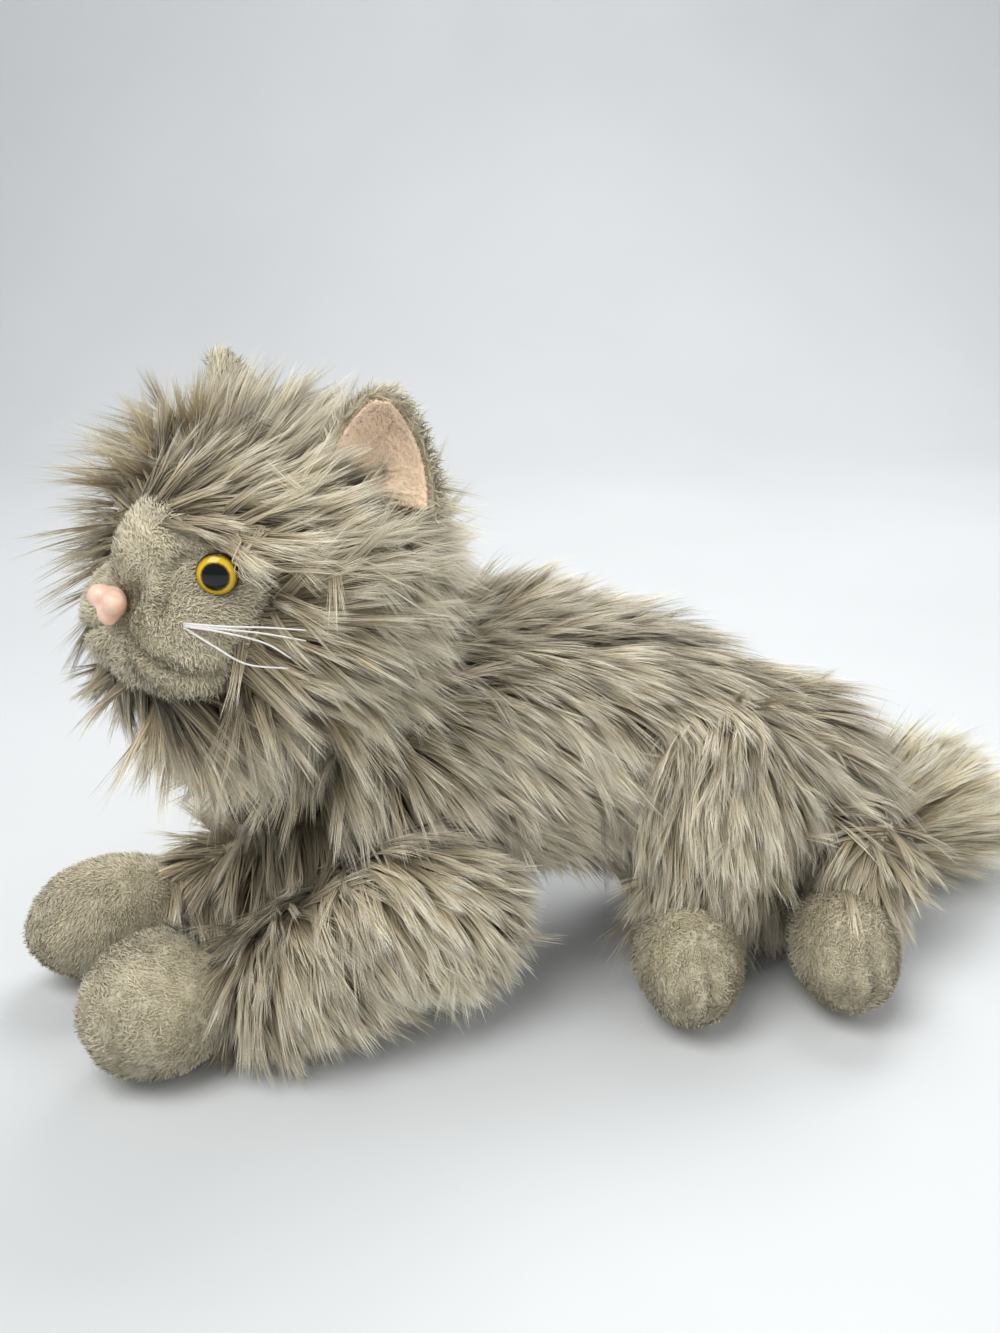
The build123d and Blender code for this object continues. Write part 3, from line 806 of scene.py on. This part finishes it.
def head_flow(places):
    """Away from the face, and hanging on the sides and the back."""
    local = HEAD.local(places)
    away = unit(local - np.array(HEAD_FROM))
    low = slope(18 - local[:, 2], 60) + slope(local[:, 0] - 5, 60) * 0.9
    away = away + np.outer(0.55 * low, (0, 0, -1.0))
    side = slope(np.abs(local[:, 1]) - 22, 20) * slope(18 - local[:, 0], 30)
    side = side * np.where(local[:, 1] > 0, 2.6, 0.15)
    high = slope(local[:, 2] + 26, 14)
    out = np.stack([0.1 - 0.9 * high, np.sign(local[:, 1]) * (0.3 + 0.7 * high),
                    0.016 * local[:, 2] - 0.9 * (1 - high)], axis=1)
    away = away + side[:, None] * out
    mirror = np.stack([np.ones(len(local)), np.where(local[:, 1] > 0, -1.0, 1.0), np.ones(len(local))], axis=1)
    gap = np.linalg.norm(local * mirror - np.array(BROW_AT), axis=1)
    brow = 4.0 * np.exp(-(gap / 9.0) ** 2)[:, None]
    away = away + brow * np.array(BROW_COMBED) * mirror
    return HEAD.vector(unit(away))


# ---------------------------------------------------------------- the units
def torso():
    verts, faces = remeshed("torso_base", ["torso_stuffing"], 0.004)
    verts = stuffed(smoothed(verts, faces, 4), faces, 0.003)
    skin = skin_piece("torso_skin", verts, faces, "torso", "long_pile", cloth, "torso_stuffing")
    others = [node_tree(unit_name + "_stuffing") for unit_name in
              ("left_foreleg", "right_foreleg", "left_hindleg", "right_hindleg", "tail", "head", "neck")]
    field = Field(BODY, TORSO_GUIDES)

    def lift(places):
        local = BODY.local(places)
        top = slope(local[:, 2] - 105, 40)
        rump = slope(local[:, 0] - 120, 60)
        return 25 + 24 * top + 8 * rump

    def length(places):
        local = BODY.local(places)
        behind = slope(local[:, 0] - 80, 60)
        over_leg = behind * slope(-10 - local[:, 1], 25) * slope(local[:, 2] - 90, 30)
        rump = slope(local[:, 0] - 150, 40) * slope(local[:, 2] - 45, 30)
        return 0.047 + 0.005 * behind + 0.012 * over_leg + 0.008 * rump - 0.010 * (local[:, 2] < 40)

    def droop(places):
        local = BODY.local(places)
        return 0.10 + 0.12 * slope(90 - local[:, 2], 60)

    limbs = [(node_tree("left_hindleg_stuffing"), 0.006), (node_tree("right_hindleg_stuffing"), 0.008),
             (node_tree("left_foreleg_stuffing"), 0.005), (node_tree("right_foreleg_stuffing"), 0.004)]
    long_coat("torso_coat", "torso", verts, faces, field, 11, 0.0042, length, lift, droop,
              far_from(others, 0.004), "torso_fur", clear=limbs, coat_brightness=0.93)


NECK_COAT_FOOT = 0.118      # the neck's pile starts where the chest ends


def neck():
    verts, faces = remeshed("neck_base", ["neck_stuffing"], 0.004)
    verts = smoothed(verts, faces, 3)
    skin = skin_piece("neck_skin", verts, faces, "neck", "long_pile", cloth, "neck_stuffing")

    def flow(places):
        out = (places - neck_pivot) * (1, 1, 0)
        return unit(unit(out) * 0.8 + np.array((-0.5, -0.2, -0.8)))

    def outside(places):
        return (places[:, 2] < neck_pivot[2]) & (places[:, 2] > NECK_COAT_FOOT)

    long_coat("neck_coat", "neck", verts, faces, flow, 15, 0.0038, constant(0.036), constant(42),
              constant(0.16), outside)


TOE_CREASE_WIDTH = 0.0032
TOE_CREASE_DEPTH = 0.0042
PAW_SWELL = 0.0026          # the clipped paw stands out beyond the backing of the long pile
SKIN_FLOOR = 0.0012


def limb(body, stuffing, fur, paw, stitches, where, guides, seed, length, pile_lift, others):
    """One leg: cloth skin, long coat on its sleeve, clipped paw with its toe creases."""
    verts, faces = remeshed(body + "_base", [stuffing], 0.003)
    verts = smoothed(verts, faces, 3)
    normals = normals_of(verts, faces)
    paw_tree = node_tree(paw)
    fur_tree = node_tree(fur)
    on_paw = distances(paw_tree, verts) < distances(fur_tree, verts)
    swell = smoothed(np.repeat(on_paw.astype(float)[:, None], 3, axis=1), faces, 3)[:, :1]
    verts = verts + normals * swell * PAW_SWELL
    stitch_tree = node_tree(stitches)
    gap = distances(stitch_tree, verts)
    crease = np.exp(-(gap / TOE_CREASE_WIDTH) ** 2)[:, None]
    verts = verts - normals * crease * TOE_CREASE_DEPTH
    verts = stuffed(verts, faces, 0.002, crease[:, 0])
    verts[:, 2] = np.maximum(verts[:, 2], SKIN_FLOOR)
    skin = skin_piece(body + "_skin", verts, faces, body, "short_pile", plush, stuffing, stitches)

    field = Field(where, guides, mirrored=False)
    clear = far_from(others, 0.003)

    def on_sleeve(places):
        return (distances(fur_tree, places) < distances(paw_tree, places)) & clear(places)

    def on_foot(places):
        return (distances(paw_tree, places) <= distances(fur_tree, places) + 0.0015) & clear(places)

    long_coat(body + "_coat", body, verts, faces, field, seed, 0.0040, constant(length),
              constant(pile_lift), constant(0.14), on_sleeve, fur)
    rng = np.random.default_rng(seed + 50)
    places, outward = roots_on(verts, faces, 0.00105, rng, on_foot)
    # painted shade: the paw pile is darker along the toe stitches, where the creases lie in shade
    painted_shading = 1 - 0.38 * np.exp(-(distances(stitch_tree, places) / 0.0034) ** 2)
    toes = np.array(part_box(paw)[0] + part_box(paw)[1]) / 2
    front = where.vector((-1.0, 0, 0)) if "fore" in body else np.array((0, -1.0, 0))

    def paw_flow(p):
        return unit(unit(p - toes) + 0.9 * front + np.array((0, 0, -0.5)))

    short_coat(body + "_paw_pile", body, places, outward, paw_flow, seed + 90, 0.0034, 42.0, (paw,),
               width=0.0003, painted_shading=painted_shading)


def legs():
    torso_tree = node_tree("torso_stuffing")
    for side, sign in SIDES.items():
        guides = [((p[0], p[1] * sign, p[2]), (d[0], d[1] * sign, d[2])) for p, d in FORELEG_GUIDES]
        limb(f"{side}_foreleg", f"{side}_foreleg_stuffing", f"{side}_foreleg_fur", f"{side}_forepaw_plush",
             f"{side}_forepaw_stitches", BODY, guides, 21 + sign, 0.040, 24, [torso_tree])
    for side, guides, length in (("left", LEFT_HINDLEG_GUIDES, 0.040), ("right", RIGHT_HINDLEG_GUIDES, 0.034)):
        limb(f"{side}_hindleg", f"{side}_hindleg_stuffing", f"{side}_hindleg_fur", f"{side}_hindpaw_plush",
             f"{side}_hindpaw_stitches", HIND, guides, 33 + SIDES[side], length, 22, [torso_tree])


def tail():
    verts, faces = remeshed("tail_base", ["tail_stuffing"], 0.003)
    verts = stuffed(smoothed(verts, faces, 3), faces, 0.002)
    skin = skin_piece("tail_skin", verts, faces, "tail", "long_pile", cloth, "tail_stuffing")
    field = Field(TAIL, TAIL_GUIDES, mirrored=True)
    torso_tree = node_tree("torso_stuffing")
    long_coat("tail_coat", "tail", verts, faces, field, 41, 0.0038, constant(0.050), constant(26),
              constant(0.03), far_from([torso_tree], 0.003), "tail_fur", spread=0.003, coat_brightness=1.32)


FACE_NODES = ["bridge_plush", "left_cheek_plush", "right_cheek_plush", "chin_plush"]
# Points of the left side in the head's frame in millimetres, then depth and width of the crease in metres.
MOUTH = [(-66, 0, -12), (-67, -4, -16), (-68, -12, -19.5), (-68, -20, -22), (-65, -29, -26), (-59, -36, -28),
         (-52, -41, -29.5), (-44, -44, -30)]
CREASES = [
    (MOUTH, 0.0062, 0.0026),
    ([(-40, -27, 11), (-45, -22, 10), (-50, -19, 6), (-56, -21, 0), (-59, -25, -5)], 0.0042, 0.0028),
    ([(-62, -7, -4), (-55, -11, 4), (-50, -19, 6)], 0.0022, 0.0030),
    ([(-24, -50, 3), (-27, -46, -10), (-36, -46, -21), (-37, -44, -34)], 0.0044, 0.0028),
]


def crease_depth(places):
    """How deep the seams of the face pull the plush in, in metres."""
    local = HEAD.local(places)
    local[:, 1] = -np.abs(local[:, 1])
    depth = np.zeros(len(places))
    for line, deep, wide in CREASES:
        line = np.array(line, float)
        nearest = np.full(len(places), 1e9)
        for a, b in zip(line[:-1], line[1:]):
            along = np.clip(((local - a) @ (b - a)) / ((b - a) @ (b - a)), 0, 1)
            nearest = np.minimum(nearest, np.linalg.norm(local - a - along[:, None] * (b - a), axis=1))
        depth = np.maximum(depth, deep * np.exp(-(nearest * MM / wide) ** 2))
    return depth


def head():
    verts, faces = remeshed("head_base", ["head_stuffing"] + FACE_NODES, 0.0022)
    verts = smoothed(verts, faces, 5)
    normals = normals_of(verts, faces)
    face_tree = node_tree(*FACE_NODES)
    on_face = distances(face_tree, verts) < 0.0024
    inset = smoothed(np.repeat(on_face.astype(float)[:, None], 3, axis=1), faces, 4)[:, :1]
    depth = crease_depth(verts)
    over_washer = np.exp(-(distances(node_tree("left_eye_washer", "right_eye_washer"), verts) / 0.0025) ** 2)
    verts = verts - normals * (inset * 0.0024 + (depth - 0.0026 * over_washer)[:, None])
    verts = stuffed(verts, faces, 0.0015, depth / depth.max())
    skin = skin_piece("head_skin", verts, faces, "head", "short_pile", plush, "head_stuffing", "mouth_stitches")

    eyes = node_tree("left_eye_lens", "right_eye_lens", "left_eye_iris", "right_eye_iris", "nose")
    ears = node_tree("left_ear_back", "right_ear_back")

    def outside_face(places):
        """How far outside the clipped face a place is, in millimetres, negative inside it."""
        local = HEAD.local(places)
        y = np.abs(local[:, 1])
        brow = np.interp(y, [0, 18, 25, 37, 49], [28, 18, 12.5, 11, 3])
        rear = np.interp(local[:, 2], [-40, -21, -11, 2, 15], [-42, -37, -27, -25, -32])
        rear = rear - 10 * (local[:, 1] > 0)
        return np.maximum.reduce([local[:, 2] - brow, local[:, 0] - rear, -38 - local[:, 2]])

    def on_fur(places):
        clear = (distances(eyes, places) > 0.0018) & (distances(ears, places) > 0.002)
        return (outside_face(places) > 0) & clear

    def on_plush(places):
        return (outside_face(places) < 4) & (distances(eyes, places) > 0.0003)

    def length(places):
        local = HEAD.local(places)
        edge = slope(outside_face(places), 18)
        low = slope(-8 - local[:, 2], 30)
        top = slope(local[:, 2] - 15, 25)
        far = slope(local[:, 1] - 15, 30) * slope(local[:, 2] + 26, 14)
        under = slope(local[:, 1] - 5, 20) * slope(-20 - local[:, 2], 14)
        return 0.038 + 0.012 * edge + 0.010 * low - 0.001 * top + 0.008 * far - 0.022 * under

    def lift(places):
        local = HEAD.local(places)
        front = slope(-15 - local[:, 0], 25)
        far = slope(local[:, 1] - 10, 30)
        low = slope(-20 - local[:, 2], 25)
        top = slope(local[:, 2] - 35, 20)
        high = slope(local[:, 2] + 26, 14)
        far_top = top * slope(local[:, 1] + 5, 15)
        return 17 + 10 * front + 38 * far * high + 12 * low - 4 * top + 10 * far_top

    def droop(places):
        local = HEAD.local(places)
        return 0.01 + 0.20 * slope(5 - local[:, 2], 50)

    guard = [(tree_of(verts, faces), 0.002), (eyes, 0.0008)]
    long_coat("head_coat", "head", verts, faces, head_flow, 5, 0.0036, length, lift, droop, on_fur, "head_fur",
              clear=guard, per_lock=30)

    rng = np.random.default_rng(6)
    places, outward = roots_on(verts, faces, 0.00082, rng, on_plush)
    # painted light and shade on the face pile: lighter along the bridge, where light falls on the top, darker
    # near the eyes and along the seams' creases, where shade falls
    near_eye = np.exp(-(distances(eyes, places) / 0.006) ** 2)
    bridge = np.exp(-(HEAD.local(places)[:, 1] / 12) ** 2)
    painted_shading = 0.97 + 0.09 * bridge - 0.14 * near_eye - 0.32 * crease_depth(places) / CREASES[0][1]
    short_coat("face_pile", "head", places, outward, head_flow, 7, 0.0034, 38.0, FACE_NODES, width=0.0003,
               painted_shading=painted_shading)


def ears():
    """Each ear is a clipped back and a velour lining, with the pile brushed up towards the tip."""
    for side in SIDES:
        back = f"{side}_ear_back"
        lining = f"{side}_ear_lining"
        verts, faces = remeshed(back + "_base", [back], 0.0012)
        verts = smoothed(verts, faces, 3)
        skin_piece(f"{side}_ear_shell", verts, faces, f"{side}_ear", "short_pile", plush)
        lining_tree = node_tree(lining)

        def on_back(places):
            return distances(lining_tree, places) > 0.0012

        rng = np.random.default_rng(60 + SIDES[side])
        places, outward = roots_on(verts, faces, 0.00105, rng, on_back)
        up = HEAD.vector((0.35, 0, 1.0))
        short_coat(f"{side}_ear_pile", f"{side}_ear", places, outward, lambda p: np.tile(up, (len(p), 1)), 62,
                   0.0072, 42.0, (back,))

        inner_verts, inner_faces = remeshed(lining + "_base", [lining], 0.001)
        inner_verts = smoothed(inner_verts, inner_faces, 3)
        skin_piece(f"{side}_ear_inside", inner_verts, inner_faces, f"{side}_ear", "ear_velour", velour)
        back_tree = node_tree(back)
        places, outward = roots_on(inner_verts, inner_faces, 0.0008, rng,
                                   lambda p: distances(back_tree, p) > 0.001)

        def peach(bright):
            return tones_of(PEACH * 0.9, PEACH, PEACH * 1.06, bright, 0.04, 0.6)

        short_coat(f"{side}_ear_velour", f"{side}_ear", places, outward, lambda p: np.tile(up, (len(p), 1)), 63,
                   0.0016, 60.0, (lining,), width=0.0003, tones=peach, slot="ear_velour")


def tube_faces(rings, sides, start=0):
    """Faces round a stack of rings of vertices, closed at both ends."""
    faces = []
    for r in range(rings - 1):
        at = start + r * sides
        for k in range(sides):
            n = (k + 1) % sides
            faces.append((at + k, at + n, at + sides + n, at + sides + k))
    faces.append(tuple(range(start, start + sides))[::-1])
    faces.append(tuple(range(start + (rings - 1) * sides, start + rings * sides)))
    return faces


def revolved(profile, sides):
    """Verts and faces of a profile of (radius, height) points turned about z. The ends are closed."""
    verts = []
    for radius, height in profile:
        for k in range(sides):
            a = 2 * math.pi * k / sides
            verts.append((radius * math.cos(a), radius * math.sin(a), height))
    return np.array(verts), tube_faces(len(profile), sides)


def eye_material(side):
    """Glossy painted eye: black pupil, yellow iris with fine mottling, thin dark rim."""
    made, tree, shader = material(f"{side}_eye_paint", 0.06, Specular_IOR_Level=0.45)
    radius = tree.nodes.new("ShaderNodeAttribute")
    radius.attribute_name = "eye_radius"
    ramp = colour_ramp(tree, [
        (0.0, srgb(5, 5, 8)), (0.62, srgb(8, 8, 10)), (0.67, srgb(120, 90, 8)), (0.74, srgb(226, 190, 30)),
        (0.88, srgb(206, 166, 20)), (0.95, srgb(120, 90, 14)), (1.0, srgb(30, 22, 10))])
    where = tree.nodes.new("ShaderNodeTexCoord")
    streaks = tree.nodes.new("ShaderNodeTexNoise")
    streaks.inputs["Scale"].default_value = 900.0
    mix = tree.nodes.new("ShaderNodeMath")
    mix.operation = "MULTIPLY_ADD"
    mix.inputs[1].default_value = 0.05
    wired(tree, (where, "Object", streaks, "Vector"), (streaks, "Fac", mix, 0), (radius, "Fac", mix, 2),
          (mix, "Value", ramp, "Fac"), (ramp, "Color", shader, "Base Color"))
    return made


EYE_RADIUS = 0.0079
EYE_DOME = 0.0046
EYE_FACING = 48.0
EYE_SINK = 0.0020       # the rim of the dome sits below the tips of the pile


def eyes():
    """Glossy domes, painted from below, that sit a little lower than the tips of the plush."""
    for side, sign in SIDES.items():
        low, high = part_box(f"{side}_eye_pupil")
        centre = (np.array(low) + np.array(high)) / 2
        facing = math.radians(EYE_FACING)
        outward = HEAD.vector((-math.cos(facing), sign * math.sin(facing), 0))
        turn = np.array(Vector(outward).to_track_quat("Z", "Y").to_matrix())
        profile = [(EYE_RADIUS * 0.9, -0.0016), (EYE_RADIUS, -0.0008), (EYE_RADIUS, 0.0)]
        for k in range(1, 15):
            a = math.pi / 2 * k / 15
            profile.append((EYE_RADIUS * math.cos(a), EYE_DOME * math.sin(a)))
        verts, faces = revolved(profile, 64)
        radius = np.linalg.norm(verts[:, :2], axis=1) / EYE_RADIUS
        obj = new_object(f"{side}_eye_dome", verts @ turn.T + centre - outward * EYE_SINK, faces)
        set_attribute(obj.data, "eye_radius", "FLOAT", radius)
        finish_piece(obj, "head", eye_material(side), "eye_lens", f"{side}_eye_lens", f"{side}_eye_pupil",
                     f"{side}_eye_iris")


NOSE_LOBES = [
    # centre and half-axes in the head's frame, in millimetres
    ((-65.5, -5.2, -6.0), (4.6, 5.6, 4.6)),
    ((-65.5, 5.2, -6.0), (4.6, 5.6, 4.6)),
    ((-65.2, 0.0, -11.0), (4.4, 4.6, 5.4)),
    ((-62.5, 0.0, -7.5), (4.0, 7.0, 6.0)),
]


def nose():
    """Soft vinyl nose: two upper lobes and a lower one, melted together, with a small dimple between."""
    verts, faces, start = [], [], 0
    for centre, radii in NOSE_LOBES:
        profile = [(math.cos(a), math.sin(a)) for a in np.linspace(-1.5, 1.5, 24)]
        ball, ball_faces = revolved(profile, 32)
        verts.append(HEAD.point(ball * np.array(radii) + np.array(centre)))
        faces += [tuple(i + start for i in f) for f in ball_faces]
        start += len(ball)
    rough = new_object("nose_rough", np.concatenate(verts), faces)
    modifier = rough.modifiers.new("remesh", "REMESH")
    modifier.mode = "VOXEL"
    modifier.voxel_size = 0.0005
    verts, tris = mesh_arrays(rough)
    bpy.data.objects.remove(rough)
    verts = smoothed(verts, tris, 24)
    dimple = HEAD.point((-69.5, 0, -8.0))
    deep = np.exp(-(np.linalg.norm(verts - dimple, axis=1) / 0.0022) ** 2)[:, None]
    verts = verts - HEAD.vector((-1.0, 0, 0)) * deep * 0.0014
    piece = new_object("nose_piece", verts, tris)
    finish_piece(piece, "head", nose_pink, "nose_vinyl", "nose")


WHISKER_LINES = [
    # points of each left whisker in the head's frame, in millimetres
    [(-54, -36, -9), (-45, -48, -9), (-35, -60, -8.5), (-26, -71.5, -8.5)],
    [(-54, -36, -9.5), (-45, -48, -10), (-36, -60, -10.5), (-26, -71, -12.5)],
    [(-54, -36, -10), (-46, -47, -11), (-36, -59, -14), (-30, -67, -19)],
    [(-54, -36, -10.5), (-47, -45, -17), (-40, -54, -22.5), (-30.5, -66, -23)],
]


WHISKER_RADIUS = 0.00048
WHISKER_TAPER = 0.45
WHISKER_SIDES = 8


def whiskers():
    """Stiff bristles that taper a little to their tips."""
    for side, sign in SIDES.items():
        verts, faces, start = [], [], 0
        for line in WHISKER_LINES:
            knots = HEAD.point(np.array(line, float) * (1, -sign, 1))
            curve = smooth_line(knots, 24)
            tangent = unit(np.gradient(curve, axis=0))
            across = unit(np.cross(tangent, (0, 0, 1.0)))
            upward = np.cross(across, tangent)
            for i, place in enumerate(curve):
                thick = WHISKER_RADIUS * (1 - WHISKER_TAPER * i / len(curve))
                for k in range(WHISKER_SIDES):
                    a = 2 * math.pi * k / WHISKER_SIDES
                    verts.append(place + thick * (across[i] * math.cos(a) + upward[i] * math.sin(a)))
            faces += tube_faces(len(curve), WHISKER_SIDES, start)
            start += len(curve) * WHISKER_SIDES
        obj = new_object(f"{side}_whisker_bristles", np.array(verts), faces)
        finish_piece(obj, "head", bristle, "bristle", f"{side}_whiskers")


def smooth_line(knots, count):
    """Points along a smooth curve through the knots."""
    padded = np.vstack([2 * knots[0] - knots[1], knots, 2 * knots[-1] - knots[-2]])
    out = []
    for s in np.linspace(0, len(knots) - 1, count):
        i = min(int(s), len(knots) - 2)
        t = s - i
        a, b, c, d = padded[i:i + 4]
        out.append(0.5 * (2 * b + (c - a) * t + (2 * a - 5 * b + 4 * c - d) * t ** 2
                          + (3 * b - a - 3 * c + d) * t ** 3))
    return np.array(out)


NODE_MATERIALS = {"stitches": thread, "washer": washer_plastic}


def carried_over_nodes():
    """CAD nodes that stay get their own materials."""
    for name, node in NODES.items():
        for ending, used in NODE_MATERIALS.items():
            if name.endswith(ending):
                node.data.materials.clear()
                node.data.materials.append(used)


camera_and_stage()
bpy.context.scene.view_settings.view_transform = "Standard"
carried_over_nodes()
torso()
neck()
legs()
tail()
head()
eyes()
nose()
whiskers()
ears()
